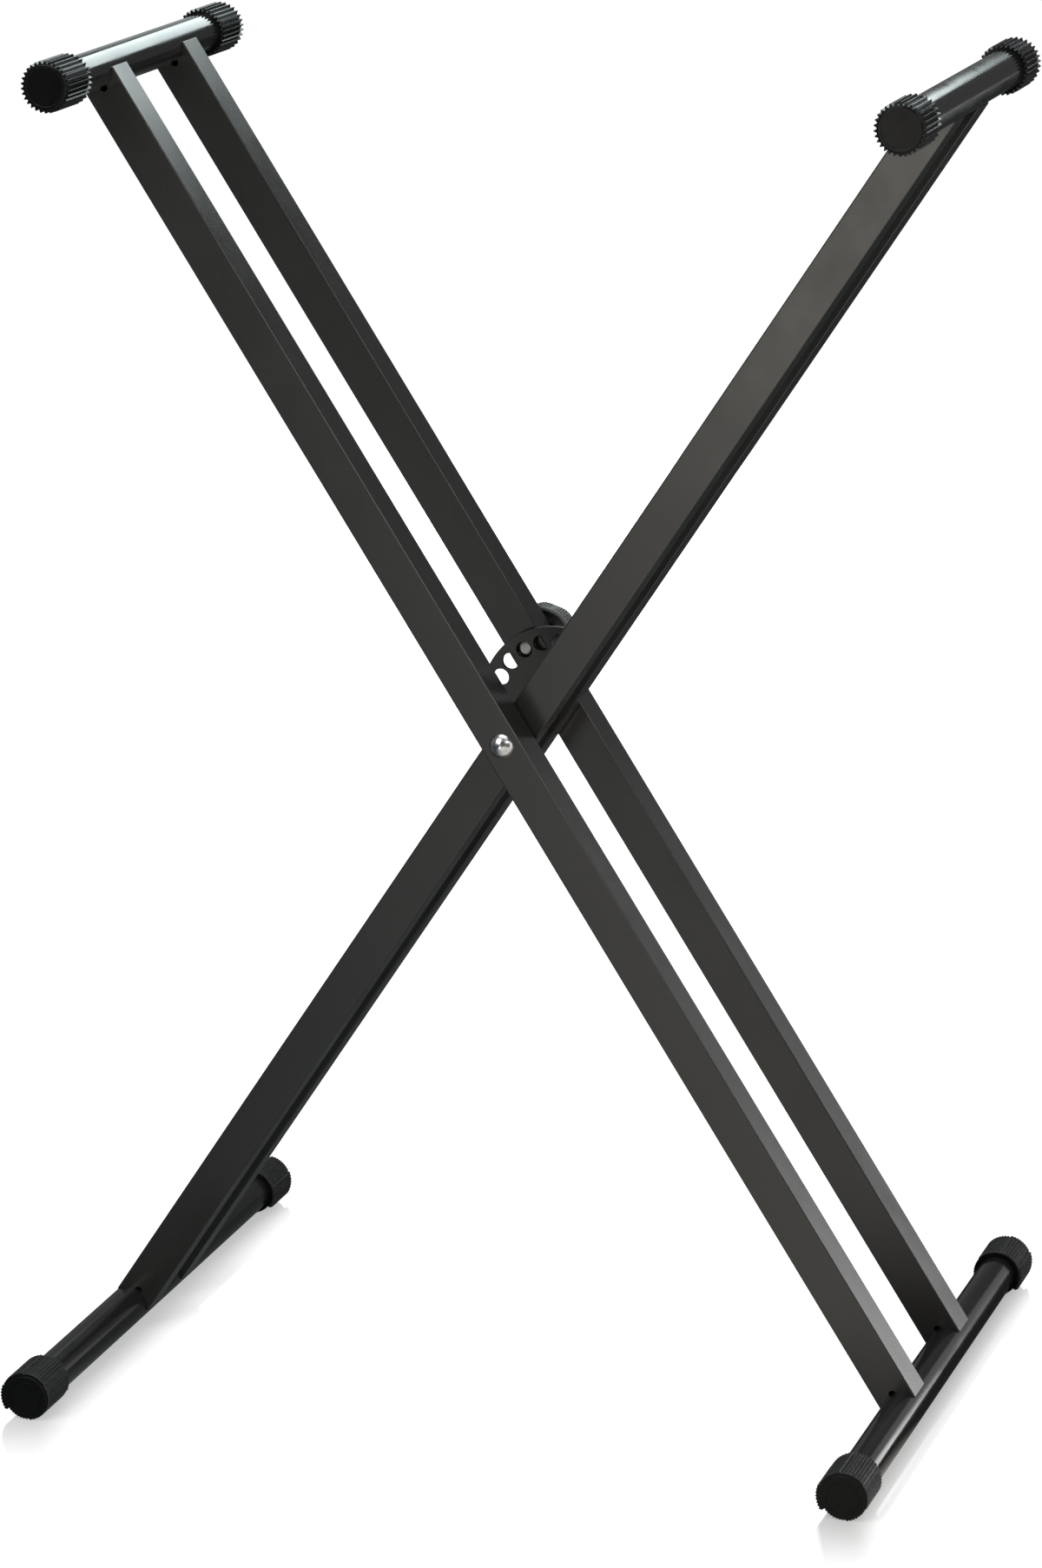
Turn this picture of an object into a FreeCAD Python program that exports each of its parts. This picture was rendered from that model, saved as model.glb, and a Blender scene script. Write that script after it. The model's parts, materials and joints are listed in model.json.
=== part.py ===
import FreeCAD, Part
import math
import os
import Sketcher

# Folding keyboard stand: an outer and an inner frame of paired square legs that cross at one
# pivot bolt, each with a round top rail and a round base rail.
# X runs across the crossing legs, Y along the rails from front to rear, Z up.
# The origin is on the floor under the middle of the stand.

doc = FreeCAD.newDocument("keyboard_stand")
Vec = FreeCAD.Vector

# Driving sizes in millimetres and degrees: name, value, meaning
SIZES = (
    ("leg_span", 500.0, "pivot axis to the axis of each rail"),
    ("tube_size", 25.4, "outside of the square leg tube"),
    ("tube_wall", 1.5, "wall of the leg tube"),
    ("tube_corner", 0.8, "outside corner radius of the leg tube"),
    ("rail_dia", 25.4, "outside of the round rails"),
    ("rail_wall", 1.5, "wall of the rails"),
    ("outer_depth", 149.8, "depth over the two outer legs"),
    ("leg_trim", 4.5, "leg tube stops this far short of the rail axis"),
    ("vent_dia", 5.0, "vent hole at the bottom of each saddle"),
    ("top_width", 312.0, "top rail with its caps"),
    ("base_width", 457.2, "base rail with its caps"),
    ("setting_first", 30.0, "angle between the legs in the tallest setting"),
    ("setting_step", 18.0, "angle from one setting to the next"),
    ("setting_count", 5, "number of height settings"),
    ("setting_used", 3, "setting shown, counted from the tallest"),
    ("plate_radius", 51.5, "radius of the half-disc lock plate"),
    ("plate_thick", 3.0, "lock plate"),
    ("plate_lap", 8.0, "plate reaches this far past the leg's centre line"),
    ("lock_radius", 41.0, "pivot axis to the lock pin"),
    ("lock_hole_dia", 11.0, "holes of the lock plate"),
    ("bolt_dia", 8.0, "shank of the pivot bolt"),
    ("bolt_head_dia", 16.0, "domed head of the pivot bolt"),
    ("bolt_head_height", 4.5, "height of the dome"),
    ("bolt_past_nut", 2.0, "bolt end beyond the nut"),
    ("bolt_chamfer", 0.8, "chamfer of the bolt end"),
    ("nut_width", 13.0, "nut across flats"),
    ("nut_height", 6.0, "hexagon of the nut"),
    ("nut_collar_dia", 11.6, "locking collar of the nut"),
    ("nut_collar_height", 2.0, "height of the collar"),
    ("washer_dia", 22.0, "pivot washers"),
    ("washer_thick", 3.0, "pivot washers"),
    ("spacer_dia", 18.0, "tube between the inner legs"),
    ("run_gap", 0.05, "radial clearance of turning and sliding fits"),
    ("bolt_gap", 0.10, "radial clearance of the bolt in fixed holes"),
    ("cap_end_wall", 3.0, "end wall of every rail cap"),
    ("top_cap_length", 39.5, "top rail cap"),
    ("top_tip_radius", 16.4, "tip of the grip teeth"),
    ("top_root_radius", 14.5, "root of the grip teeth"),
    ("top_teeth", 30, "grip teeth on a top cap"),
    ("top_tooth_tip", 0.5, "flat on a tooth tip"),
    ("top_rim_round", 1.2, "rounded edge of the end disc"),
    ("top_rim_width", 2.4, "rim around the sunk end disc"),
    ("top_disc_sunk", 0.8, "end disc below its rim"),
    ("base_cap_length", 35.4, "levelling cap on the base rail"),
    ("level_radius", 15.0, "lowest step of a levelling cap"),
    ("level_rise", 0.57, "rise from one step to the next"),
    ("level_steps", 6, "steps around a levelling cap"),
    ("level_turn", 216.0, "angle at which the lowest step begins"),
    ("level_groove", 3.0, "angle of the groove between two steps"),
    ("level_groove_depth", 0.35, "groove below the rib roots of its step"),
    ("rib_pitch", 2.13, "fine ribs along a step"),
    ("rib_height", 0.6, "fine ribs above the step"),
    ("rib_radius", 0.6, "round of a fine rib"),
    ("level_face_radius", 14.3, "smooth end disc of a levelling cap"),
    ("level_face_lip", 0.8, "end disc stands out of the steps"),
    ("level_face_round", 0.5, "rounded edge of the end disc"),
    ("level_mouth_radius", 16.3, "flat rim around the mouth of a levelling cap"),
    ("level_ring_radius", 10.3, "ring line on the end face"),
    ("level_ring_width", 0.7, "width of the ring line"),
    ("level_ring_depth", 0.3, "depth of the ring line"),
    ("level_end_gap", 0.3, "rail end to the cap's end wall"),
    ("pin_dia", 9.0, "nose of the lock pin"),
    ("pin_chamfer", 1.0, "chamfer of the nose"),
    ("pin_clear", 0.3, "nose behind the plate when drawn back"),
    ("pin_show", 1.4, "nose in front of the plate when locked"),
    ("pin_stop_gap", 0.3, "collar to the front wall when locked"),
    ("collar_dia", 14.0, "spring collar of the pin"),
    ("collar_thick", 2.0, "spring collar of the pin"),
    ("shaft_dia", 6.0, "shaft of the pin"),
    ("housing_dia", 16.0, "barrel of the lock housing"),
    ("housing_depth", 3.4, "barrel inside the leg"),
    ("housing_flange_dia", 21.0, "flange behind the leg"),
    ("housing_flange_thick", 2.4, "flange behind the leg"),
    ("spring_wire", 1.2, "wire of the lock spring"),
    ("spring_dia", 12.6, "outside of the lock spring"),
    ("spring_turns", 4.0, "turns of the lock spring"),
    ("knob_stand_off", 7.9, "leg to the knob"),
    ("knob_thick", 15.1, "knob along its axis"),
    ("knob_core_radius", 19.2, "knob between its lobes"),
    ("knob_lobes", 6, "lobes around the knob"),
    ("knob_lobe_radius", 12.4, "round of a lobe"),
    ("knob_lobe_offset", 8.2, "centre of a lobe from the axis"),
    ("knob_lobe_turn", 42.0, "angle of the first lobe"),
    ("knob_rim_radius", 20.1, "plain rim of the knob"),
    ("knob_rim_thick", 1.3, "plain rim of the knob"),
    ("knob_rim_bevel", 0.5, "bevel of the rim towards the leg"),
    ("knob_flutes", 9, "fine flutes on each lobe"),
    ("knob_flute_step", 5.6, "angle from one flute to the next"),
    ("knob_flute_radius", 0.5, "round of a flute"),
    ("knob_edge", 1.6, "bevel of the outer edge"),
    ("knob_hub_radius", 7.0, "hub inside the knob"),
    ("knob_shell", 1.3, "wall of the knob between its lobes"),
    ("knob_hollow", 8.0, "depth of the hollow underside"),
    ("knob_socket", 12.0, "depth of the socket for the shaft"),
)

sheet = doc.addObject("Spreadsheet::Sheet", "Sizes")
for row, (alias, number, meaning) in enumerate(SIZES, 1):
    sheet.set("A%d" % row, meaning)
    sheet.set("B%d" % row, str(number))
    sheet.setAlias("B%d" % row, alias)
doc.recompute()


class Size:
    """A number read from the sheet together with the expression that yields it."""

    def __init__(self, value, text):
        self.value = value
        self.text = text

    def join(self, other, sign, value):
        return Size(value, "(%s %s %s)" % (self.text, sign, other.text))

    def __add__(self, other):
        other = sized(other)
        return self.join(other, "+", self.value + other.value)

    def __sub__(self, other):
        other = sized(other)
        return self.join(other, "-", self.value - other.value)

    def __mul__(self, other):
        other = sized(other)
        return self.join(other, "*", self.value * other.value)

    def __truediv__(self, other):
        other = sized(other)
        return self.join(other, "/", self.value / other.value)

    def __radd__(self, other):
        return sized(other) + self

    def __rsub__(self, other):
        return sized(other) - self

    def __rmul__(self, other):
        return sized(other) * self

    def __rtruediv__(self, other):
        return sized(other) / self

    def __neg__(self):
        return Size(-self.value, "(0 - %s)" % self.text)


def sized(item):
    if isinstance(item, Size):
        return item
    return Size(float(item), "(%r)" % float(item))


def sine(angle):
    return Size(math.sin(math.radians(angle.value)), "sin(%s * 1 deg)" % angle.text)


def cosine(angle):
    return Size(math.cos(math.radians(angle.value)), "cos(%s * 1 deg)" % angle.text)


def root(item):
    return Size(math.sqrt(item.value), "sqrt(%s)" % item.text)


class Sheet:
    pass


S = Sheet()
for alias, number, meaning in SIZES:
    setattr(S, alias, Size(float(sheet.get(alias)), "Sizes.%s" % alias))

ZERO = sized(0)


# Helpers for bodies, sketches and features

def bind(item, name, size):
    setattr(item, name, size.value)
    item.setExpression(name, size.text)


def bind_count(item, name, size):
    setattr(item, name, int(round(size.value)))
    item.setExpression(name, size.text)


def new_body(label):
    body = doc.addObject("PartDesign::Body", label)
    body.Label = label
    return body


def datum(body, role):
    return [item for item in body.Origin.OriginFeatures if item.Role == role][0]


def place(body, x, y, z, axis=None, turn=None):
    spin = FreeCAD.Rotation()
    if turn is not None:
        spin = FreeCAD.Rotation(axis, turn.value)
    body.Placement = FreeCAD.Placement(Vec(x.value, y.value, z.value), spin)
    body.setExpression("Placement.Base.x", x.text)
    body.setExpression("Placement.Base.y", y.text)
    body.setExpression("Placement.Base.z", z.text)
    if turn is not None:
        body.setExpression("Placement.Rotation.Angle", turn.text)


def new_sketch(body, role, name, depth=None, turn=None):
    """A sketch on an origin plane, moved by depth along its normal and turned in its plane."""
    sketch = body.newObject("Sketcher::SketchObject", body.Label + "_" + name)
    sketch.AttachmentSupport = [(datum(body, role), "")]
    sketch.MapMode = "FlatFace"
    axis = Vec(0, 0, 1)
    if turn is not None and turn.value % 360 > 180:
        axis = Vec(0, 0, -1)
        turn = 360 * math.ceil(turn.value / 360) - turn
    spin = FreeCAD.Rotation(axis, turn.value) if turn is not None else FreeCAD.Rotation()
    lift = depth.value if depth is not None else 0
    sketch.AttachmentOffset = FreeCAD.Placement(Vec(0, 0, lift), spin)
    if depth is not None:
        sketch.setExpression("AttachmentOffset.Base.z", depth.text)
    if turn is not None:
        sketch.setExpression("AttachmentOffset.Rotation.Angle", turn.text)
    return sketch


def limit(sketch, kind, items, size):
    number = sketch.addConstraint(Sketcher.Constraint(kind, *items, size.value))
    name = "size_%d" % number
    sketch.renameConstraint(number, name)
    sketch.setExpression("Constraints." + name, size.text)


def fix_point(sketch, line, end, x, y):
    for kind, size, axis in (("DistanceX", x, -2), ("DistanceY", y, -1)):
        if abs(size.value) < 1e-9:
            sketch.addConstraint(Sketcher.Constraint("PointOnObject", line, end, axis))
        elif size.value > 0:
            limit(sketch, kind, (-1, 1, line, end), size)
        else:
            limit(sketch, kind, (line, end, -1, 1), -size)


def disc(sketch, radius, x=ZERO, y=ZERO):
    circle = Part.Circle(Vec(x.value, y.value, 0), Vec(0, 0, 1), radius.value)
    number = sketch.addGeometry(circle)
    limit(sketch, "Radius", (number,), radius)
    fix_point(sketch, number, 3, x, y)


def loop(sketch, points):
    """A closed outline of straight lines through the points."""
    spots = [Vec(x.value, y.value, 0) for x, y in points]
    first = sketch.GeometryCount
    total = len(points)
    for number in range(total):
        sketch.addGeometry(Part.LineSegment(spots[number], spots[(number + 1) % total]))
    for number in range(total):
        here = first + number
        after = first + (number + 1) % total
        sketch.addConstraint(Sketcher.Constraint("Coincident", here, 2, after, 1))
        fix_point(sketch, here, 1, *points[number])


def square(sketch, half):
    loop(sketch, [(-half, -half), (half, -half), (half, half), (-half, half)])


def band(sketch, low, high, inner, outer):
    """A rectangle to be turned about the sketch's X axis."""
    loop(sketch, [(low, inner), (high, inner), (high, outer), (low, outer)])


def finish(body, feature):
    body.Tip = feature
    doc.recompute()
    if "Invalid" in feature.State or feature.Shape.isNull():
        raise ValueError("feature failed: " + feature.Name)
    return feature


def pad(body, sketch, name, length, both=False, toward_rear=False):
    feature = body.newObject("PartDesign::Pad", body.Label + "_" + name)
    feature.Profile = sketch
    bind(feature, "Length", length)
    feature.SideType = "Symmetric" if both else "One side"
    feature.Reversed = toward_rear
    return finish(body, feature)


def must_shrink(body, feature, before):
    finish(body, feature)
    if feature.Shape.Volume > before - 1e-3:
        raise ValueError("nothing was cut by " + feature.Name)
    return feature


def pocket(body, sketch, name, length, both=False, toward_front=False):
    before = body.Shape.Volume
    feature = body.newObject("PartDesign::Pocket", body.Label + "_" + name)
    feature.Profile = sketch
    bind(feature, "Length", length)
    feature.SideType = "Symmetric" if both else "One side"
    feature.Reversed = toward_front
    return must_shrink(body, feature, before)


def revolve(body, sketch, name):
    feature = body.newObject("PartDesign::Revolution", body.Label + "_" + name)
    feature.Profile = sketch
    feature.ReferenceAxis = (sketch, ["H_Axis"])
    feature.Angle = 360
    return finish(body, feature)


def groove(body, sketch, name):
    before = body.Shape.Volume
    feature = body.newObject("PartDesign::Groove", body.Label + "_" + name)
    feature.Profile = sketch
    feature.ReferenceAxis = (sketch, ["H_Axis"])
    feature.Angle = 360
    return must_shrink(body, feature, before)


def polar(body, original, name, count, sweep):
    """Copies of a feature about the Y axis, clockwise when seen from the front."""
    feature = body.newObject("PartDesign::PolarPattern", body.Label + "_" + name)
    feature.Originals = [original]
    feature.Axis = (datum(body, "Y_Axis"), [""])
    bind_count(feature, "Occurrences", count)
    bind(feature, "Angle", sweep)
    return finish(body, feature)


def front_edges(feature):
    """Numbers of the edges in the front plane of a body."""
    return [number for number, edge in enumerate(feature.Shape.Edges) if edge.BoundBox.YMax < 1e-6]


def soften(body, feature, name, edges, radius):
    names = ["Edge%d" % (number + 1) for number in edges]
    rounded = body.newObject("PartDesign::Fillet", body.Label + "_" + name)
    rounded.Base = (feature, names)
    bind(rounded, "Radius", radius)
    return finish(body, rounded)


def copy_body(original, label):
    body = new_body(label)
    twin = body.newObject("PartDesign::FeatureBase", label + "_twin")
    twin.BaseFeature = original
    finish(body, twin)
    return body


FRONT_VIEW = "XZ_Plane"
SIDE_VIEW = "YZ_Plane"
SECTION = "XY_Plane"

# Positions shared by the pieces
opening = S.setting_first + S.setting_step * (S.setting_used - 1)
lean = opening / 2
tube_half = S.tube_size / 2
rail_radius = S.rail_dia / 2
front_face = -S.outer_depth / 2
rear_face = S.outer_depth / 2
outer_front_y = front_face + tube_half
outer_rear_y = rear_face - tube_half
inner_front_face = front_face + S.tube_size + S.washer_thick
plate_rear = rear_face - S.tube_size - S.washer_thick
plate_front = plate_rear - S.plate_thick
inner_front_y = inner_front_face + tube_half
inner_rear_y = plate_front - tube_half
spacer_front = inner_front_face + S.tube_size
spacer_length = plate_front - S.tube_size - spacer_front

# Levelling cap: radius, number of ribs and rib positions of every step
step_span = 360 / S.level_steps
STEPS = []
for number in range(int(round(S.level_steps.value))):
    tip = S.level_radius + S.level_rise * number
    start = S.level_turn + step_span * number
    useful = step_span - S.level_groove
    ribs = max(2, int(round(math.radians(useful.value) * tip.value / S.rib_pitch.value)))
    STEPS.append((tip, start, useful, ribs))

# The lowest rib stands on the floor and sets the height of the base rail axis
reaches = []
for tip, start, useful, ribs in STEPS:
    for number in range(ribs):
        angle = start + S.level_groove / 2 + useful * ((number + 0.5) / ribs)
        reaches.append(S.rib_radius - (tip - S.rib_radius) * sine(angle))
base_z = max(reaches, key=lambda reach: reach.value)
side_x = S.leg_span * sine(lean)
rise_z = S.leg_span * cosine(lean)
pivot_z = base_z + rise_z
top_z = pivot_z + rise_z

LEAN_LEFT = Vec(0, -1, 0)
LEAN_RIGHT = Vec(0, 1, 0)
HALF_TURN = sized(180)
parts = []


# Legs: square tubes with a saddle at each end for the rails and a pivot hole between

def make_leg(label, depth, lean_axis, pivot_gap):
    body = new_body(label)
    section = new_sketch(body, SECTION, "section")
    square(section, tube_half)
    square(section, tube_half - S.tube_wall)
    tube = pad(body, section, "tube", (S.leg_span - S.leg_trim) * 2, both=True)
    corners = []
    for number, edge in enumerate(tube.Shape.Edges):
        ends = [vertex.Point for vertex in edge.Vertexes]
        outside = [abs(abs(p.x) - tube_half.value) + abs(abs(p.y) - tube_half.value) < 1e-6 for p in ends]
        if all(outside) and abs(ends[0].z - ends[1].z) > S.tube_size.value:
            corners.append(number)
    soften(body, tube, "corners", corners, S.tube_corner)
    saddles = new_sketch(body, FRONT_VIEW, "saddles")
    holes = new_sketch(body, FRONT_VIEW, "holes")
    disc(holes, S.bolt_dia / 2 + pivot_gap)
    for side in (1, -1):
        disc(saddles, rail_radius, ZERO, S.leg_span * side)
        disc(holes, S.vent_dia / 2, ZERO, (S.leg_span - rail_radius) * side)
    pocket(body, saddles, "saddle_cut", S.tube_size * 2, both=True)
    pocket(body, holes, "hole_cut", S.tube_size * 2, both=True)
    place(body, ZERO, depth, pivot_z, lean_axis, lean)
    parts.append(body)
    return body


make_leg("outer_leg_front", outer_front_y, LEAN_LEFT, S.bolt_gap)
lock_leg = make_leg("outer_leg_rear", outer_rear_y, LEAN_LEFT, S.bolt_gap)
make_leg("inner_leg_front", inner_front_y, LEAN_RIGHT, S.run_gap)
make_leg("inner_leg_rear", inner_rear_y, LEAN_RIGHT, S.run_gap)

# The rear outer leg carries the lock: the pin leaves by the front wall, the housing sits in the rear
pin_hole = new_sketch(lock_leg, FRONT_VIEW, "pin_hole")
disc(pin_hole, S.pin_dia / 2 + S.run_gap, ZERO, S.lock_radius)
pocket(lock_leg, pin_hole, "pin_cut", S.tube_size, toward_front=True)
housing_hole = new_sketch(lock_leg, FRONT_VIEW, "housing_hole")
disc(housing_hole, S.housing_dia / 2, ZERO, S.lock_radius)
pocket(lock_leg, housing_hole, "housing_cut", S.tube_size)


# Rails: round tubes along Y

def make_ring(label, length, outside, inside, both=False):
    body = new_body(label)
    section = new_sketch(body, FRONT_VIEW, "section")
    disc(section, outside)
    disc(section, inside)
    pad(body, section, "ring", length, both=both, toward_rear=not both)
    parts.append(body)
    return body


top_rail_length = S.top_width - S.cap_end_wall * 2
base_rail_length = S.base_width - (S.cap_end_wall + S.level_end_gap) * 2
rail_bore = rail_radius - S.rail_wall
RAILS = (
    ("outer_top_rail", top_rail_length, -side_x, top_z),
    ("outer_base_rail", base_rail_length, side_x, base_z),
    ("inner_top_rail", top_rail_length, side_x, top_z),
    ("inner_base_rail", base_rail_length, -side_x, base_z),
)
for label, length, x, z in RAILS:
    rail = make_ring(label, length, rail_radius, rail_bore, both=True)
    place(rail, x, ZERO, z)


# Top caps: toothed grips pushed over the rail ends

def make_top_cap(label):
    body = new_body(label)
    core = new_sketch(body, FRONT_VIEW, "core")
    disc(core, S.top_root_radius)
    drum = pad(body, core, "drum", S.top_cap_length, toward_rear=True)
    soften(body, drum, "rim", front_edges(drum), S.top_rim_round)
    tooth = new_sketch(body, FRONT_VIEW, "tooth", depth=-S.top_rim_round)
    half_foot = S.top_root_radius * (math.pi * 0.96) / S.top_teeth
    half_tip = S.top_tooth_tip / 2
    foot = S.top_root_radius * 0.97
    peak = S.top_tip_radius
    loop(tooth, [(-half_foot, foot), (half_foot, foot), (half_tip, peak), (-half_tip, peak)])
    ridge = pad(body, tooth, "ridge", S.top_cap_length - S.top_rim_round, toward_rear=True)
    polar(body, ridge, "teeth", S.top_teeth, sized(360))
    bore = new_sketch(body, FRONT_VIEW, "bore", depth=-S.cap_end_wall)
    disc(bore, rail_radius)
    pocket(body, bore, "bore_cut", S.top_cap_length)
    sunk = new_sketch(body, FRONT_VIEW, "sunk")
    disc(sunk, S.top_root_radius - S.top_rim_width)
    pocket(body, sunk, "sunk_cut", S.top_disc_sunk)
    parts.append(body)
    return body


# Levelling caps: six ribbed steps of growing radius, free to turn on the base rail

def sector(body, name, radius, half, turn):
    """A slice of a drum behind the end disc, half an angle to each side of the turned X axis."""
    outline = new_sketch(body, FRONT_VIEW, name, depth=-S.level_face_lip, turn=turn)
    low = Vec(radius.value * cosine(half).value, -radius.value * sine(half).value, 0)
    high = Vec(low.x, -low.y, 0)
    reach = math.radians(half.value)
    circle = Part.Circle(Vec(0, 0, 0), Vec(0, 0, 1), radius.value)
    outline.addGeometry(Part.LineSegment(Vec(0, 0, 0), low))
    outline.addGeometry(Part.ArcOfCircle(circle, -reach, reach))
    outline.addGeometry(Part.LineSegment(high, Vec(0, 0, 0)))
    for ends in ((0, 1, -1, 1), (2, 2, -1, 1), (1, 3, -1, 1), (0, 2, 1, 1), (1, 2, 2, 1)):
        outline.addConstraint(Sketcher.Constraint("Coincident", *ends))
    outline.addConstraint(Sketcher.Constraint("Vertical", 0, 2, 2, 1))
    limit(outline, "Radius", (1,), radius)
    limit(outline, "DistanceY", (0, 2, 2, 1), radius * sine(half) * 2)
    return outline


def make_base_cap(label):
    body = new_body(label)
    core = new_sketch(body, FRONT_VIEW, "core")
    disc(core, S.level_face_radius)
    drum = pad(body, core, "drum", S.base_cap_length, toward_rear=True)
    soften(body, drum, "rim", front_edges(drum), S.level_face_round)
    step_length = S.base_cap_length - S.level_face_lip
    for number, (tip, start, useful, ribs) in enumerate(STEPS):
        foot = tip - S.rib_height
        middle = start + step_span / 2
        floor = sector(body, "floor%d" % number, foot - S.level_groove_depth, step_span / 2, middle)
        pad(body, floor, "floor_pad%d" % number, step_length, toward_rear=True)
        wedge = sector(body, "wedge%d" % number, foot, useful / 2, middle)
        pad(body, wedge, "step%d" % number, step_length, toward_rear=True)
        last = start + step_span - S.level_groove / 2 - useful * (0.5 / ribs)
        line = new_sketch(body, FRONT_VIEW, "line%d" % number, depth=-S.level_face_lip, turn=last)
        disc(line, S.rib_radius, tip - S.rib_radius, ZERO)
        rib = pad(body, line, "rib%d" % number, step_length, toward_rear=True)
        polar(body, rib, "ribs%d" % number, sized(ribs), useful * ((ribs - 1) / ribs))
    bore = new_sketch(body, FRONT_VIEW, "bore", depth=-S.cap_end_wall)
    disc(bore, rail_radius + S.run_gap)
    pocket(body, bore, "bore_cut", S.base_cap_length)
    mouth = new_sketch(body, SIDE_VIEW, "mouth")
    wide = S.level_mouth_radius + S.rib_pitch * 2
    loop(mouth, [
        (S.base_cap_length, S.level_mouth_radius),
        (S.base_cap_length, wide),
        (S.base_cap_length - (wide - S.level_mouth_radius), wide),
    ])
    groove(body, mouth, "mouth_cut")
    ring = new_sketch(body, SIDE_VIEW, "ring")
    ring_edge = S.level_ring_radius + S.level_ring_width
    band(ring, -S.level_ring_depth, S.level_ring_depth, S.level_ring_radius, ring_edge)
    groove(body, ring, "ring_cut")
    parts.append(body)
    return body


CAPS = (
    ("outer_top_cap", "top", -side_x, top_z),
    ("inner_top_cap", "top", side_x, top_z),
    ("outer_base_cap", "base", side_x, base_z),
    ("inner_base_cap", "base", -side_x, base_z),
)
first_cap = {}
for stem, kind, x, z in CAPS:
    reach = (S.top_width if kind == "top" else S.base_width) / 2
    for end in ("front", "rear"):
        label = stem + "_" + end
        if kind in first_cap:
            cap = copy_body(first_cap[kind], label)
            parts.append(cap)
        else:
            cap = make_top_cap(label) if kind == "top" else make_base_cap(label)
            first_cap[kind] = cap
        if end == "front":
            place(cap, x, -reach, z)
        else:
            place(cap, x, reach, z, Vec(0, 0, 1), HALF_TURN)

# Lock plate: half disc behind the rear inner leg with one hole for each setting
plate = new_body("lock_plate")
outline = new_sketch(plate, FRONT_VIEW, "outline")
lap_angle = math.acos(S.plate_lap.value / S.plate_radius.value)
corner = math.sqrt(S.plate_radius.value ** 2 - S.plate_lap.value ** 2)
circle = Part.Circle(Vec(0, 0, 0), Vec(0, 0, 1), S.plate_radius.value)
outline.addGeometry(Part.ArcOfCircle(circle, lap_angle, 2 * math.pi - lap_angle))
outline.addGeometry(Part.LineSegment(Vec(S.plate_lap.value, -corner, 0), Vec(S.plate_lap.value, corner, 0)))
for ends in ((0, 3, -1, 1), (0, 2, 1, 1), (1, 2, 0, 1)):
    outline.addConstraint(Sketcher.Constraint("Coincident", *ends))
outline.addConstraint(Sketcher.Constraint("Vertical", 1))
limit(outline, "Radius", (0,), S.plate_radius)
limit(outline, "DistanceX", (-1, 1, 1, 1), S.plate_lap)
pad(plate, outline, "blank", S.plate_thick, toward_rear=True)
widest = S.setting_first + S.setting_step * (S.setting_count - 1)
hole = new_sketch(plate, FRONT_VIEW, "hole")
disc(hole, S.lock_hole_dia / 2, -S.lock_radius * sine(widest), S.lock_radius * cosine(widest))
first_hole = pocket(plate, hole, "hole_cut", S.plate_thick)
polar(plate, first_hole, "settings", S.setting_count, S.setting_step * (S.setting_count - 1))
centre = new_sketch(plate, FRONT_VIEW, "centre")
disc(centre, S.bolt_dia / 2 + S.run_gap)
pocket(plate, centre, "centre_cut", S.plate_thick)
place(plate, ZERO, plate_front, pivot_z, LEAN_RIGHT, lean)
parts.append(plate)

# Pivot bolt with a domed head on the front outer leg
bolt = new_body("pivot_bolt")
profile = new_sketch(bolt, SIDE_VIEW, "profile")
head_radius = S.bolt_head_dia / 2
shank = S.bolt_dia / 2
bolt_end = S.outer_depth + S.nut_height + S.nut_collar_height + S.bolt_past_nut
dome = (head_radius * head_radius + S.bolt_head_height * S.bolt_head_height) / (S.bolt_head_height * 2)
dome_centre = Vec(dome.value - S.bolt_head_height.value, 0, 0)
dome_start = math.atan2(head_radius.value, -dome_centre.x)
corners = [
    (-S.bolt_head_height, ZERO),
    (ZERO, head_radius),
    (ZERO, shank),
    (bolt_end - S.bolt_chamfer, shank),
    (bolt_end, shank - S.bolt_chamfer),
    (bolt_end, ZERO),
]
spots = [Vec(x.value, y.value, 0) for x, y in corners]
profile.addGeometry(Part.ArcOfCircle(Part.Circle(dome_centre, Vec(0, 0, 1), dome.value), dome_start, math.pi))
for number in range(1, len(spots)):
    profile.addGeometry(Part.LineSegment(spots[number], spots[(number + 1) % len(spots)]))
profile.addConstraint(Sketcher.Constraint("Coincident", 0, 1, 1, 1))
for number in range(1, len(spots) - 1):
    profile.addConstraint(Sketcher.Constraint("Coincident", number, 2, number + 1, 1))
profile.addConstraint(Sketcher.Constraint("Coincident", len(spots) - 1, 2, 0, 2))
profile.addConstraint(Sketcher.Constraint("PointOnObject", 0, 3, -1))
for number in range(1, len(spots)):
    fix_point(profile, number, 1, *corners[number])
fix_point(profile, 0, 2, *corners[0])
revolve(bolt, profile, "turned")
place(bolt, ZERO, front_face, pivot_z)
parts.append(bolt)

# Lock nut behind the rear outer leg
nut = new_body("pivot_nut")
hexagon = new_sketch(nut, FRONT_VIEW, "hexagon")
flat = S.nut_width / 2
point = S.nut_width / math.sqrt(3)
loop(hexagon, [
    (point, ZERO), (point / 2, flat), (-point / 2, flat),
    (-point, ZERO), (-point / 2, -flat), (point / 2, -flat),
])
pad(nut, hexagon, "hex", S.nut_height, toward_rear=True)
collar = new_sketch(nut, FRONT_VIEW, "collar")
disc(collar, S.nut_collar_dia / 2)
pad(nut, collar, "collar_pad", S.nut_height + S.nut_collar_height, toward_rear=True)
thread = new_sketch(nut, FRONT_VIEW, "thread")
disc(thread, shank)
pocket(nut, thread, "thread_cut", S.nut_height + S.nut_collar_height)
place(nut, ZERO, rear_face, pivot_z)
parts.append(nut)

# Washers between the frames and a spacer between the inner legs
RINGS = (
    ("pivot_washer_front", front_face + S.tube_size, S.washer_thick, S.washer_dia, S.bolt_gap),
    ("pivot_washer_rear", plate_rear, S.washer_thick, S.washer_dia, S.bolt_gap),
    ("pivot_spacer", spacer_front, spacer_length, S.spacer_dia, S.run_gap),
)
for label, start, length, outside, gap in RINGS:
    ring = make_ring(label, length, outside / 2, shank + gap)
    place(ring, ZERO, start, pivot_z)

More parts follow.
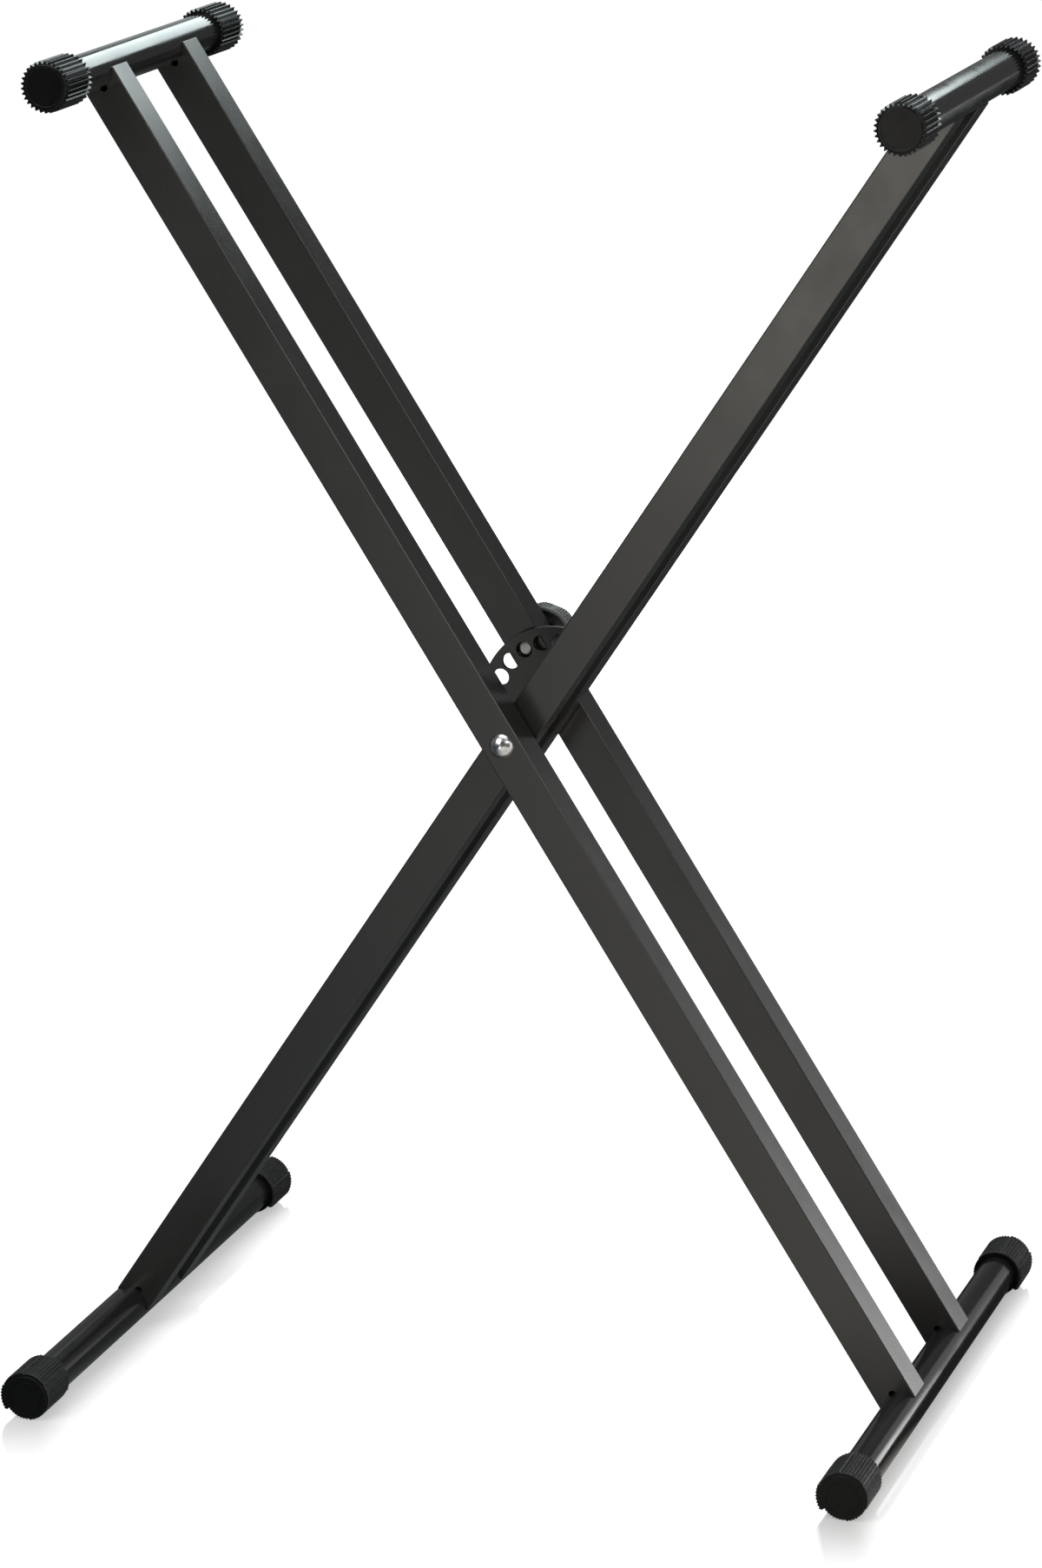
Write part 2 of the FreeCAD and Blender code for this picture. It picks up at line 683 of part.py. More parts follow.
# Lock: every piece sits on one axis through the rear outer leg
lock_x = -S.lock_radius * sine(lean)
lock_z = pivot_z + S.lock_radius * cosine(lean)
pin_tip = plate_rear + S.pin_clear
pin_travel = S.pin_clear + S.plate_thick + S.pin_show
collar_front = rear_face - S.tube_size + S.tube_wall + S.pin_stop_gap + pin_travel
collar_back = collar_front + S.collar_thick
housing_front = rear_face - S.tube_wall - S.housing_depth
knob_face = rear_face + S.knob_stand_off
shaft_end = knob_face + S.knob_socket

pin = new_body("lock_pin")
profile = new_sketch(pin, SIDE_VIEW, "profile")
nose = S.pin_dia / 2
shaft = S.shaft_dia / 2
loop(profile, [
    (ZERO, ZERO),
    (ZERO, nose - S.pin_chamfer),
    (S.pin_chamfer, nose),
    (collar_front - pin_tip, nose),
    (collar_front - pin_tip, S.collar_dia / 2),
    (collar_back - pin_tip, S.collar_dia / 2),
    (collar_back - pin_tip, shaft),
    (shaft_end - pin_tip, shaft),
    (shaft_end - pin_tip, ZERO),
])
revolve(pin, profile, "turned")
place(pin, lock_x, pin_tip, lock_z)
parts.append(pin)

housing = new_body("lock_housing")
profile = new_sketch(housing, SIDE_VIEW, "profile")
barrel = S.housing_depth + S.tube_wall
loop(profile, [
    (ZERO, shaft + S.run_gap),
    (ZERO, S.housing_dia / 2),
    (barrel, S.housing_dia / 2),
    (barrel, S.housing_flange_dia / 2),
    (barrel + S.housing_flange_thick, S.housing_flange_dia / 2),
    (barrel + S.housing_flange_thick, shaft + S.run_gap),
])
revolve(housing, profile, "turned")
place(housing, lock_x, housing_front, lock_z)
parts.append(housing)

# Compression spring between the pin's collar and the housing
spring = new_body("lock_spring")
wire = new_sketch(spring, SIDE_VIEW, "wire")
wire_radius = S.spring_wire / 2
spring_length = housing_front - collar_back
spring_pitch = (spring_length - S.spring_wire) / S.spring_turns
disc(wire, wire_radius, wire_radius, S.spring_dia / 2 - wire_radius)
coil = spring.newObject("PartDesign::AdditiveHelix", "lock_spring_coil")
coil.Profile = wire
coil.ReferenceAxis = (wire, ["H_Axis"])
coil.Mode = "pitch-turns-angle"
bind(coil, "Pitch", spring_pitch)
bind(coil, "Turns", S.spring_turns)
coil.Angle = 0
coil.Growth = 0
finish(spring, coil)
place(spring, lock_x, collar_back, lock_z)
parts.append(spring)
print("spring gap between turns: %.2f mm" % (spring_pitch.value - S.spring_wire.value))

# Pull knob: lobed and fluted, hollow underneath, on the rear end of the pin
knob = new_body("lock_knob")
core = new_sketch(knob, FRONT_VIEW, "core")
disc(core, S.knob_core_radius)
pad(knob, core, "drum", S.knob_thick, toward_rear=True)
lobe = new_sketch(knob, FRONT_VIEW, "lobe", turn=S.knob_lobe_turn)
disc(lobe, S.knob_lobe_radius, S.knob_lobe_offset, ZERO)
first_lobe = pad(knob, lobe, "lobe_pad", S.knob_thick, toward_rear=True)
polar(knob, first_lobe, "lobes", S.knob_lobes, sized(360))
flutes = new_sketch(knob, FRONT_VIEW, "flutes", depth=-S.knob_rim_thick, turn=S.knob_lobe_turn)
flute_count = int(round(S.knob_flutes.value))
for number in range(flute_count):
    angle = S.knob_flute_step * (number - (flute_count - 1) / 2)
    across = S.knob_lobe_offset * sine(angle)
    bulge = S.knob_lobe_offset * cosine(angle) + root(S.knob_lobe_radius * S.knob_lobe_radius - across * across)
    reach = bulge if bulge.value > S.knob_core_radius.value else S.knob_core_radius
    disc(flutes, S.knob_flute_radius, reach * cosine(angle), reach * sine(angle))
first_flutes = pocket(knob, flutes, "flute_cut", S.knob_thick)
polar(knob, first_flutes, "all_flutes", S.knob_lobes, sized(360))
rim = new_sketch(knob, FRONT_VIEW, "rim")
disc(rim, S.knob_rim_radius)
pad(knob, rim, "rim_pad", S.knob_rim_thick, toward_rear=True)
bevel = new_sketch(knob, SIDE_VIEW, "bevel")
lobe_tip = S.knob_lobe_offset + S.knob_lobe_radius
wide = lobe_tip + S.knob_edge
loop(bevel, [
    (S.knob_thick, lobe_tip - S.knob_edge * 2),
    (S.knob_thick, wide),
    (S.knob_thick - S.knob_edge * 1.5, wide),
])
groove(knob, bevel, "bevel_cut")
front_bevel = new_sketch(knob, SIDE_VIEW, "front_bevel")
front_edge = S.knob_rim_radius - S.knob_rim_bevel
loop(front_bevel, [(ZERO, front_edge), (wide - front_edge, wide), (ZERO, wide)])
groove(knob, front_bevel, "front_bevel_cut")
hollow = new_sketch(knob, FRONT_VIEW, "hollow")
disc(hollow, S.knob_core_radius - S.knob_shell)
disc(hollow, S.knob_hub_radius)
pocket(knob, hollow, "hollow_cut", S.knob_hollow)
socket = new_sketch(knob, FRONT_VIEW, "socket")
disc(socket, shaft)
pocket(knob, socket, "socket_cut", S.knob_socket)
place(knob, lock_x, knob_face, lock_z)
parts.append(knob)

# Check every piece and write it out
doc.recompute()
for item in doc.Objects:
    if "Invalid" in item.State or "Error" in item.State:
        raise ValueError("object in error: " + item.Name)
os.makedirs("parts", exist_ok=True)
for body in parts:
    shape = body.Shape
    if shape.isNull() or not shape.isValid() or len(shape.Solids) != 1:
        raise ValueError("bad solid: " + body.Label)
    shape.exportStep("parts/%s.step" % body.Label)
    box = shape.BoundBox
    low = "%.2f %.2f %.2f" % (box.XMin, box.YMin, box.ZMin)
    high = "%.2f %.2f %.2f" % (box.XMax, box.YMax, box.ZMax)
    print("%-20s %9.1f mm3  %s  to  %s" % (body.Label, shape.Volume, low, high))
print("angle between the legs %.1f, height %.1f" % (opening.value, top_z.value + S.top_tip_radius.value))
print("pivot height %.3f, base axis %.3f, side %.3f" % (pivot_z.value, base_z.value, side_x.value))
print("lock axis %.3f %.3f, pin travel %.2f" % (lock_x.value, lock_z.value, pin_travel.value))
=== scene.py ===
import json
import math

import bpy
from mathutils import Matrix, Vector


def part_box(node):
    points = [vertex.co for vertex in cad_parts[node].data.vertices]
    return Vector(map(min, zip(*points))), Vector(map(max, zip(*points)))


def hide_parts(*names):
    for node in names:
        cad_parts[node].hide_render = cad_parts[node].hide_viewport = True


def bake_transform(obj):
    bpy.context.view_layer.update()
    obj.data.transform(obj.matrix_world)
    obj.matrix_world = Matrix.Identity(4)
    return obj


# Folding keyboard stand: looks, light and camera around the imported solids. Lengths are in metres.
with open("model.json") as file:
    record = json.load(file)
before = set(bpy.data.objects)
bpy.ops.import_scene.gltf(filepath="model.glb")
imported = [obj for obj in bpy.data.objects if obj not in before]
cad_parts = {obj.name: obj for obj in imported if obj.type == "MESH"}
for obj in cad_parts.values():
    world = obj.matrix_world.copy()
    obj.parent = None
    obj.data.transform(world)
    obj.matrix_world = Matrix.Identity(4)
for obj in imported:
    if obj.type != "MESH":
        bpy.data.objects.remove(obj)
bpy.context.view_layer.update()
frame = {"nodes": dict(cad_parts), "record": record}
nodes = frame["nodes"]
scene = bpy.context.scene
scene.view_settings.view_transform = "Standard"

low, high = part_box("outer_base_rail")
RAIL_X = (low[0] + high[0]) / 2
RAIL_Z = (low[2] + high[2]) / 2
WHITE = (1.0, 1.0, 1.0)


# Helpers for node trees. A band holds the start and end of a range, then the values at both.

MIX_FACTOR, MIX_FIRST, MIX_SECOND = 0, 6, 7
MIX_RESULT = 2
NOISE_ROUGHNESS = 0.55
NOISE_ENDS = (0.3, 0.7)
BEVEL_SAMPLES = 6
SHADE_SAMPLES = 8
EDGE_BAND = (0.998, 0.93, 0.0, 1.0)
OPEN_BAND = (0.55, 0.95, 0.0, 1.0)
END_FACE_BAND = (0.5, 0.9, 1.0, 0.0)
DISC_BAND = (0.0150, 0.0156, 0.0, 1.0)


def new_material(name):
    material = bpy.data.materials.new(name)
    material.use_nodes = True
    tree = material.node_tree
    tree.nodes.clear()
    output = tree.nodes.new("ShaderNodeOutputMaterial")
    shader = tree.nodes.new("ShaderNodeBsdfPrincipled")
    tree.links.new(shader.outputs["BSDF"], output.inputs["Surface"])
    return material, tree, shader, output


def add(tree, kind, **settings):
    node = tree.nodes.new(kind)
    for name, value in settings.items():
        setattr(node, name, value)
    return node


def feed(tree, source, socket):
    """Links a socket to the source, or sets the source on it when that is a plain value."""
    if isinstance(source, bpy.types.NodeSocket):
        tree.links.new(source, socket)
    elif socket.type == "RGBA":
        socket.default_value = (*source, 1.0)
    else:
        socket.default_value = source


def calc(tree, operation, *sources, kind="ShaderNodeMath"):
    node = add(tree, kind, operation=operation)
    for source, socket in zip(sources, node.inputs):
        feed(tree, source, socket)
    return node.outputs["Value"]


def times(tree, first, second):
    return calc(tree, "MULTIPLY", first, second)


def axes_of(tree, vector):
    node = add(tree, "ShaderNodeSeparateXYZ")
    tree.links.new(vector, node.inputs["Vector"])
    return node.outputs


def spots(tree, scale, detail, stretch=None):
    """Noise over the object's own metres, stretched along an axis if asked."""
    source = add(tree, "ShaderNodeTexCoord").outputs["Object"]
    if stretch is not None:
        mapping = add(tree, "ShaderNodeMapping")
        mapping.inputs["Scale"].default_value = stretch
        tree.links.new(source, mapping.inputs["Vector"])
        source = mapping.outputs["Vector"]
    noise = add(tree, "ShaderNodeTexNoise")
    noise.inputs["Scale"].default_value = scale
    noise.inputs["Detail"].default_value = detail
    noise.inputs["Roughness"].default_value = NOISE_ROUGHNESS
    tree.links.new(source, noise.inputs["Vector"])
    return noise.outputs["Fac"]


def ramp(tree, source, places, colours):
    """Colour that runs from the first to the second between two places."""
    node = add(tree, "ShaderNodeValToRGB")
    for element, place, colour in zip(node.color_ramp.elements, places, colours):
        element.position = place
        element.color = (*colour, 1.0)
    tree.links.new(source, node.inputs["Fac"])
    return node.outputs["Color"]


def spread(tree, source, band, kind="LINEAR"):
    node = add(tree, "ShaderNodeMapRange", clamp=True, interpolation_type=kind)
    for name, value in zip(("From Min", "From Max", "To Min", "To Max"), band):
        node.inputs[name].default_value = value
    tree.links.new(source, node.inputs["Value"])
    return node.outputs["Result"]


def blend_colours(tree, factor, first, second):
    node = add(tree, "ShaderNodeMix", data_type="RGBA")
    feed(tree, factor, node.inputs[MIX_FACTOR])
    feed(tree, first, node.inputs[MIX_FIRST])
    feed(tree, second, node.inputs[MIX_SECOND])
    return node.outputs[MIX_RESULT]


def mix_shaders(tree, factor, first, second):
    node = add(tree, "ShaderNodeMixShader")
    for source, socket in zip((factor, first, second), node.inputs):
        tree.links.new(source, socket)
    return node.outputs["Shader"]


def rounded(tree, radius):
    """Normal of the surface with its edges rounded."""
    node = add(tree, "ShaderNodeBevel", samples=BEVEL_SAMPLES)
    node.inputs["Radius"].default_value = radius
    return node.outputs["Normal"]


def edge_mask(tree, radius):
    """1 on a convex or concave edge, 0 on open faces."""
    face = add(tree, "ShaderNodeNewGeometry").outputs["Normal"]
    match = calc(tree, "DOT_PRODUCT", rounded(tree, radius), face, kind="ShaderNodeVectorMath")
    return spread(tree, match, EDGE_BAND)


def openness(tree, reach):
    """1 on open faces and crests, 0 down in the gaps between ribs and teeth. Ambient occlusion, used for
    painted shade in the gaps and a painted highlight on the crests.
    """
    shade = add(tree, "ShaderNodeAmbientOcclusion", samples=SHADE_SAMPLES, only_local=True)
    shade.inputs["Distance"].default_value = reach
    return spread(tree, shade.outputs["AO"], OPEN_BAND)


def rearward(tree):
    """From -1 on faces towards the front to 1 on faces towards the rear. All turns are about Y."""
    geometry = add(tree, "ShaderNodeNewGeometry")
    return axes_of(tree, geometry.outputs["True Normal"])["Y"]


def front_and_flank(tree):
    """0 on faces towards the rear, 1 on all others."""
    return spread(tree, rearward(tree), END_FACE_BAND)


def flank(tree):
    """1 on the sides of a piece that lies along Y, 0 on its end faces."""
    return spread(tree, calc(tree, "ABSOLUTE", rearward(tree)), END_FACE_BAND)


def beyond_disc(tree):
    """1 outside the smooth end disc of a levelling cap, 0 on it, measured from the base rails' axes."""
    place = axes_of(tree, add(tree, "ShaderNodeTexCoord").outputs["Object"])
    offset = add(tree, "ShaderNodeCombineXYZ")
    tree.links.new(calc(tree, "ABSOLUTE", place["X"]), offset.inputs["X"])
    tree.links.new(place["Z"], offset.inputs["Z"])
    axis = (RAIL_X, 0.0, RAIL_Z)
    radius = calc(tree, "DISTANCE", offset.outputs["Vector"], axis, kind="ShaderNodeVectorMath")
    return spread(tree, radius, DISC_BAND)


def bump(tree, shader, height, strength, distance, below=None):
    node = add(tree, "ShaderNodeBump")
    node.inputs["Strength"].default_value = strength
    node.inputs["Distance"].default_value = distance
    tree.links.new(height, node.inputs["Height"])
    if below is not None:
        tree.links.new(below, node.inputs["Normal"])
    tree.links.new(node.outputs["Normal"], shader.inputs["Normal"])
    return node.outputs["Normal"]


# Sprayed paint. Noise scales count per metre.

PAINT_CLOUDS = {"scale": 9.0, "detail": 4.0}
PAINT_CLOUD_ENDS = (0.3, 0.72)
PAINT_SPECKS = {"scale": 1500.0, "detail": 2.0}
PAINT_SPECK_BAND = (0.66, 0.76, 0.0, 0.10)
PAINT_RUB_AND_HIGHLIGHT_PATCHES = {"scale": 60.0, "detail": 4.0}
PAINT_RUB_AND_HIGHLIGHT_BAND = (0.4, 0.66, 0.0, 0.6)
PAINT_RUB_AND_HIGHLIGHT_WIDTH = 1.4
PAINT_SHEEN = {"scale": 26.0, "detail": 4.0}
PAINT_SMOOTHER, PAINT_ROUGHER = 0.04, 0.05
PAINT_PEEL = {"scale": 700.0, "detail": 2.0}
PAINT_PEEL_DEPTH = 0.0002


def painted(name, dark, light, wear_and_highlight, rough, peel, round_edge, gloss):
    """Orange-peel skin, cloudy tone, fine specks, and lighter edges that are partly rub wear and partly a
    painted highlight.
    """
    material, tree, shader, _ = new_material(name)
    shader.inputs["IOR"].default_value = gloss
    clouds = ramp(tree, spots(tree, **PAINT_CLOUDS), PAINT_CLOUD_ENDS, (dark, light))
    specks = spread(tree, spots(tree, **PAINT_SPECKS), PAINT_SPECK_BAND)
    tone = blend_colours(tree, specks, clouds, wear_and_highlight)
    # Lighter edges in patches: partly rub wear, partly a painted highlight along the edges.
    lighter_edge_limit = spread(tree, spots(tree, **PAINT_RUB_AND_HIGHLIGHT_PATCHES), PAINT_RUB_AND_HIGHLIGHT_BAND)
    rub_and_highlight_edges = times(tree, edge_mask(tree, round_edge * PAINT_RUB_AND_HIGHLIGHT_WIDTH), lighter_edge_limit)
    tone = blend_colours(tree, rub_and_highlight_edges, tone, wear_and_highlight)
    tree.links.new(tone, shader.inputs["Base Color"])
    sheen_band = (*NOISE_ENDS, rough - PAINT_SMOOTHER, rough + PAINT_ROUGHER)
    sheen = spread(tree, spots(tree, **PAINT_SHEEN), sheen_band)
    tree.links.new(sheen, shader.inputs["Roughness"])
    skin = spots(tree, **PAINT_PEEL)
    bump(tree, shader, skin, peel, PAINT_PEEL_DEPTH, rounded(tree, round_edge))
    return material


# Moulded rubber and plastic

MOULD_CLOUDS = {"scale": 40.0, "detail": 4.0}
MOULD_HIGHLIGHT_WIDTH = 1.3
MOULD_SHEEN = {"scale": 120.0, "detail": 3.0}
MOULD_SMOOTHER, MOULD_ROUGHER = 0.03, 0.06
MOULD_GRAIN = {"scale": 2200.0, "detail": 2.0}
MOULD_GRAIN_DEPTH = 0.0001


def moulded(name, dark, light, crest_highlight, wear_and_highlight, rough, grain, round_edge, shine, reach, sides=flank, lighter_edge_limit=None):
    """Fine grain and soft tone changes, with a painted highlight on crests and edges that leaves the gaps as
    painted shade.
    """
    material, tree, shader, _ = new_material(name)
    shader.inputs["Specular IOR Level"].default_value = shine
    clouds = ramp(tree, spots(tree, **MOULD_CLOUDS), NOISE_ENDS, (dark, light))
    # Painted highlight on crests and open sides, leaving painted shade in the gaps between ribs and teeth.
    clear = openness(tree, reach)
    tone = blend_colours(tree, times(tree, clear, sides(tree)), clouds, crest_highlight)
    # Painted highlight on the edges, lighter than the crests.
    edges = times(tree, clear, edge_mask(tree, round_edge * MOULD_HIGHLIGHT_WIDTH))
    if lighter_edge_limit is not None:
        edges = times(tree, edges, lighter_edge_limit(tree))
    tone = blend_colours(tree, edges, tone, wear_and_highlight)
    tree.links.new(tone, shader.inputs["Base Color"])
    sheen_band = (*NOISE_ENDS, rough - MOULD_SMOOTHER, rough + MOULD_ROUGHER)
    sheen = spread(tree, spots(tree, **MOULD_SHEEN), sheen_band)
    tree.links.new(sheen, shader.inputs["Roughness"])
    skin = spots(tree, **MOULD_GRAIN)
    bump(tree, shader, skin, grain, MOULD_GRAIN_DEPTH, rounded(tree, round_edge))
    return material


# Plated steel

METAL_CLOUDS = {"scale": 160.0, "detail": 4.0}
METAL_SHEEN = {"scale": 220.0, "detail": 3.0}
METAL_SMOOTHER, METAL_ROUGHER = 0.8, 1.3
METAL_WAVES = {"scale": 170.0, "detail": 1.0}
METAL_WAVE_DEPTH = 0.002
METAL_MARKS = {"scale": 900.0, "detail": 2.0}
METAL_MARK_DEPTH = 0.0001


def metal(name, dark, light, rough, marks, dents, stretch=None):
    """Faint turning marks, cloudy polish and shallow waves."""
    material, tree, shader, _ = new_material(name)
    shader.inputs["Metallic"].default_value = 1.0
    tone = ramp(tree, spots(tree, **METAL_CLOUDS), NOISE_ENDS, (dark, light))
    tree.links.new(tone, shader.inputs["Base Color"])
    sheen_band = (*NOISE_ENDS, rough * METAL_SMOOTHER, rough * METAL_ROUGHER)
    sheen = spread(tree, spots(tree, **METAL_SHEEN), sheen_band)
    tree.links.new(sheen, shader.inputs["Roughness"])
    waves = bump(tree, shader, spots(tree, **METAL_WAVES), dents, METAL_WAVE_DEPTH)
    scratches = spots(tree, **METAL_MARKS, stretch=stretch)
    bump(tree, shader, scratches, marks, METAL_MARK_DEPTH, waves)
    return material


# One material for each slot of the record

SATIN_DARK = (0.0162, 0.0162, 0.0155)
SATIN_LIGHT = (0.0196, 0.0196, 0.0187)
DRESS = {
    "leg_paint": painted(
        "leg_paint", dark=SATIN_DARK, light=SATIN_LIGHT, wear_and_highlight=(0.034, 0.0335, 0.032),
        rough=0.21, peel=0.005, round_edge=0.0004, gloss=1.58,
    ),
    "rail_paint": painted(
        "rail_paint", dark=(0.0130, 0.0134, 0.0138), light=(0.0160, 0.0164, 0.0168),
        wear_and_highlight=(0.045, 0.045, 0.045), rough=0.15, peel=0.004, round_edge=0.0004, gloss=1.5,
    ),
    "plate_paint": painted(
        "plate_paint", dark=SATIN_DARK, light=SATIN_LIGHT, wear_and_highlight=(0.040, 0.0395, 0.038),
        rough=0.28, peel=0.02, round_edge=0.0003, gloss=1.58,
    ),
    # Grips: the lighter ring along every edge and the lighter tooth crests are a painted highlight.
    "grip_rubber": moulded(
        "grip_rubber", dark=(0.0034, 0.0036, 0.0038), light=(0.0052, 0.0054, 0.0056),
        crest_highlight=(0.016, 0.017, 0.018), wear_and_highlight=(0.045, 0.047, 0.049),
        rough=0.20, grain=0.06, round_edge=0.0003, shine=0.12, reach=0.0020,
    ),
    # Feet: the light rib lines outside the end disc are a painted highlight.
    "foot_rubber": moulded(
        "foot_rubber", dark=(0.0028, 0.0030, 0.0031), light=(0.0046, 0.0048, 0.0050),
        crest_highlight=(0.024, 0.025, 0.026), wear_and_highlight=(0.140, 0.142, 0.144),
        rough=0.26, grain=0.08, round_edge=0.0003, shine=0.12, reach=0.0012, lighter_edge_limit=beyond_disc,
    ),
    "black_nylon": moulded(
        "black_nylon", dark=(0.0080, 0.0080, 0.0080), light=(0.0120, 0.0120, 0.0120),
        crest_highlight=(0.020, 0.020, 0.020), wear_and_highlight=(0.030, 0.030, 0.030),
        rough=0.45, grain=0.10, round_edge=0.0003, shine=0.3, reach=0.0010,
    ),
    # Knob: the light flutes and bright rim are a painted highlight on black plastic.
    "knob_plastic": moulded(
        "knob_plastic", dark=(0.0060, 0.0062, 0.0065), light=(0.0090, 0.0092, 0.0095),
        crest_highlight=(0.150, 0.154, 0.158), wear_and_highlight=(0.500, 0.505, 0.510),
        rough=0.26, grain=0.06, round_edge=0.0003, shine=0.5, reach=0.0080, sides=front_and_flank,
    ),
    "bolt_chrome": metal(
        "bolt_chrome", dark=(0.34, 0.35, 0.37), light=(0.70, 0.71, 0.73), rough=0.22, marks=0.06, dents=0.5,
    ),
    "zinc_steel": metal(
        "zinc_steel", dark=(0.40, 0.40, 0.41), light=(0.56, 0.56, 0.57), rough=0.34, marks=0.12, dents=0.05,
        stretch=(1.0, 0.12, 1.0),
    ),
}
slot_of = {part["node"]: part["material_slot"] for part in frame["record"]["subparts"]}
for name, item in nodes.items():
    item.data.materials.clear()
    item.data.materials.append(DRESS[slot_of[name]])


# Lock spring between its housing and the pin's collar, kept as a fixed copy of its mesh in place of the
# hidden part

low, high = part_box("lock_spring")
coil = bpy.data.objects.new("lock_spring_coil", nodes["lock_spring"].data.copy())
scene.collection.objects.link(coil)
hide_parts("lock_spring")
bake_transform(coil)


# Camera of the photograph. Its focal length was fitted in pixels of the photo's height.

AZIMUTH = math.radians(17.56)
ELEVATION = math.radians(15.08)
ROLL = 0.0037
DISTANCE = 3.6609
PIVOT = Vector((0.0, 0.0, 0.434602))
TARGET = PIVOT + Vector((-0.01032, 0.0, -0.04483))
SENSOR_MM = 36.0
FOCAL_PIXELS = 6458.0
PHOTO_HEIGHT_PIXELS = 1805.0
CLIP_NEAR, CLIP_FAR = 0.1, 60.0

back = Vector((
    math.sin(AZIMUTH) * math.cos(ELEVATION),
    -math.cos(AZIMUTH) * math.cos(ELEVATION),
    math.sin(ELEVATION),
))
right = Vector((math.cos(AZIMUTH), math.sin(AZIMUTH), 0.0))
up = back.cross(right)
camera_x = right * math.cos(ROLL) + up * math.sin(ROLL)
camera_y = up * math.cos(ROLL) - right * math.sin(ROLL)
lens = bpy.data.cameras.new("camera")
lens.sensor_width = SENSOR_MM
lens.lens = SENSOR_MM * FOCAL_PIXELS / PHOTO_HEIGHT_PIXELS
lens.clip_start = CLIP_NEAR
lens.clip_end = CLIP_FAR
camera = bpy.data.objects.new("camera", lens)
camera.matrix_world = Matrix.Translation(TARGET + back * DISTANCE) @ Matrix((
    (camera_x.x, camera_y.x, back.x),
    (camera_x.y, camera_y.y, back.y),
    (camera_x.z, camera_y.z, back.z),
)).to_4x4()
scene.collection.objects.link(camera)
scene.camera = camera


# Studio light. The four panels behind the stand give the bright bands on rails and narrow leg sides;
# three of them are seen in reflections only. The rear panel lights the rear faces without a reflection.

COOL = (0.88, 1.0, 1.0)
WARM = (1.0, 0.95, 0.88)


def panel(name, place, aim, width, height, radiance, colour=WHITE, diffuse=True, glossy=True):
    """A soft box of the given size whose face has the given radiance."""
    lamp = bpy.data.lights.new(name, "AREA")
    lamp.shape = "RECTANGLE"
    lamp.size = width
    lamp.size_y = height
    lamp.energy = radiance * math.pi * width * height
    lamp.color = colour
    item = bpy.data.objects.new(name, lamp)
    item.location = place
    item.rotation_euler = (Vector(aim) - Vector(place)).to_track_quat("-Z", "Y").to_euler()
    item.visible_diffuse = diffuse
    item.visible_glossy = glossy
    scene.collection.objects.link(item)


panel(
    "back_panel", place=(-0.09, 1.45, 1.565), aim=(-0.09, 0.0, 1.565),
    width=1.02, height=0.57, radiance=4.6, colour=COOL,
)
panel(
    "side_panel", place=(-0.90, 1.46, 1.07), aim=(-0.90, 0.0, 1.07),
    width=0.60, height=0.45, radiance=0.45, colour=COOL, diffuse=False,
)
panel(
    "low_panel", place=(1.29, 1.45, 0.26), aim=(1.29, 0.0, 0.26),
    width=0.62, height=0.48, radiance=4.4, diffuse=False,
)
panel(
    "low_soft", place=(0.795, 1.46, 0.38), aim=(0.795, 0.0, 0.38),
    width=0.35, height=0.72, radiance=0.45, diffuse=False,
)
panel(
    "key_panel", place=(-1.0, -2.4, 2.2), aim=(0.0, 0.0, 0.45),
    width=1.6, height=1.6, radiance=5.2,
)
panel(
    "fill_panel", place=(1.9, -2.0, 1.9), aim=(0.1, 0.0, 0.55),
    width=1.2, height=1.2, radiance=5.0, colour=WARM,
)
panel(
    "front_panel", place=(-0.10, -2.6, 0.47), aim=(-0.10, 0.0, 0.47),
    width=1.0, height=0.8, radiance=1.35, colour=WARM,
)
panel(
    "rear_panel", place=(0.0, 2.8, 0.75), aim=(0.0, 0.0, 0.45),
    width=1.8, height=1.2, radiance=8.0, glossy=False,
)
panel(
    "right_panel", place=(2.2, -0.9, 0.95), aim=(0.0, 0.0, 0.5),
    width=0.5, height=1.7, radiance=1.6,
)
panel(
    "top_panel", place=(0.2, -0.5, 2.4), aim=(0.2, -0.5, 0.0),
    width=1.4, height=1.2, radiance=1.8,
)


# Pale room, brightest on the left and dim at the front. It is white in the camera and in the floor's mirror.

ROOM_LEFT_BAND = (-0.45, -0.15, 0.24, 0.17)
ROOM_FRONT_BAND = (-0.6, -0.2, 0.25, 1.0)
ROOM_REAR_BAND = (0.3, 0.7, 1.0, 0.68)


def background(tree, strength):
    node = add(tree, "ShaderNodeBackground")
    feed(tree, WHITE, node.inputs["Color"])
    feed(tree, strength, node.inputs["Strength"])
    return node.outputs["Background"]


def make_room():
    world = bpy.data.worlds.new("room")
    scene.world = world
    world.use_nodes = True
    tree = world.node_tree
    tree.nodes.clear()
    output = add(tree, "ShaderNodeOutputWorld")
    heading = axes_of(tree, add(tree, "ShaderNodeTexCoord").outputs["Generated"])
    level = spread(tree, heading["X"], ROOM_LEFT_BAND)
    level = times(tree, level, spread(tree, heading["Y"], ROOM_FRONT_BAND))
    level = times(tree, level, spread(tree, heading["Y"], ROOM_REAR_BAND))
    path = add(tree, "ShaderNodeLightPath").outputs
    open_view = calc(tree, "MAXIMUM", path["Is Camera Ray"], path["Is Singular Ray"])
    chosen = mix_shaders(tree, open_view, background(tree, level), background(tree, 1.0))
    tree.links.new(chosen, output.inputs["Surface"])


make_room()


# Pale floor that takes the stand's shadow and a faint mirror image. The dark paint of the stand
# mirrors it as a dim glowing floor, brighter towards the front right: painted light that only reflections
# see.

FLOOR_HALF = 9.0
FLOOR_GREY = (0.55, 0.55, 0.55)
FLOOR_ROUGHNESS = 0.6
FLOOR_GLOW_BAND = (0.7, 1.8, 0.80, 0.99)

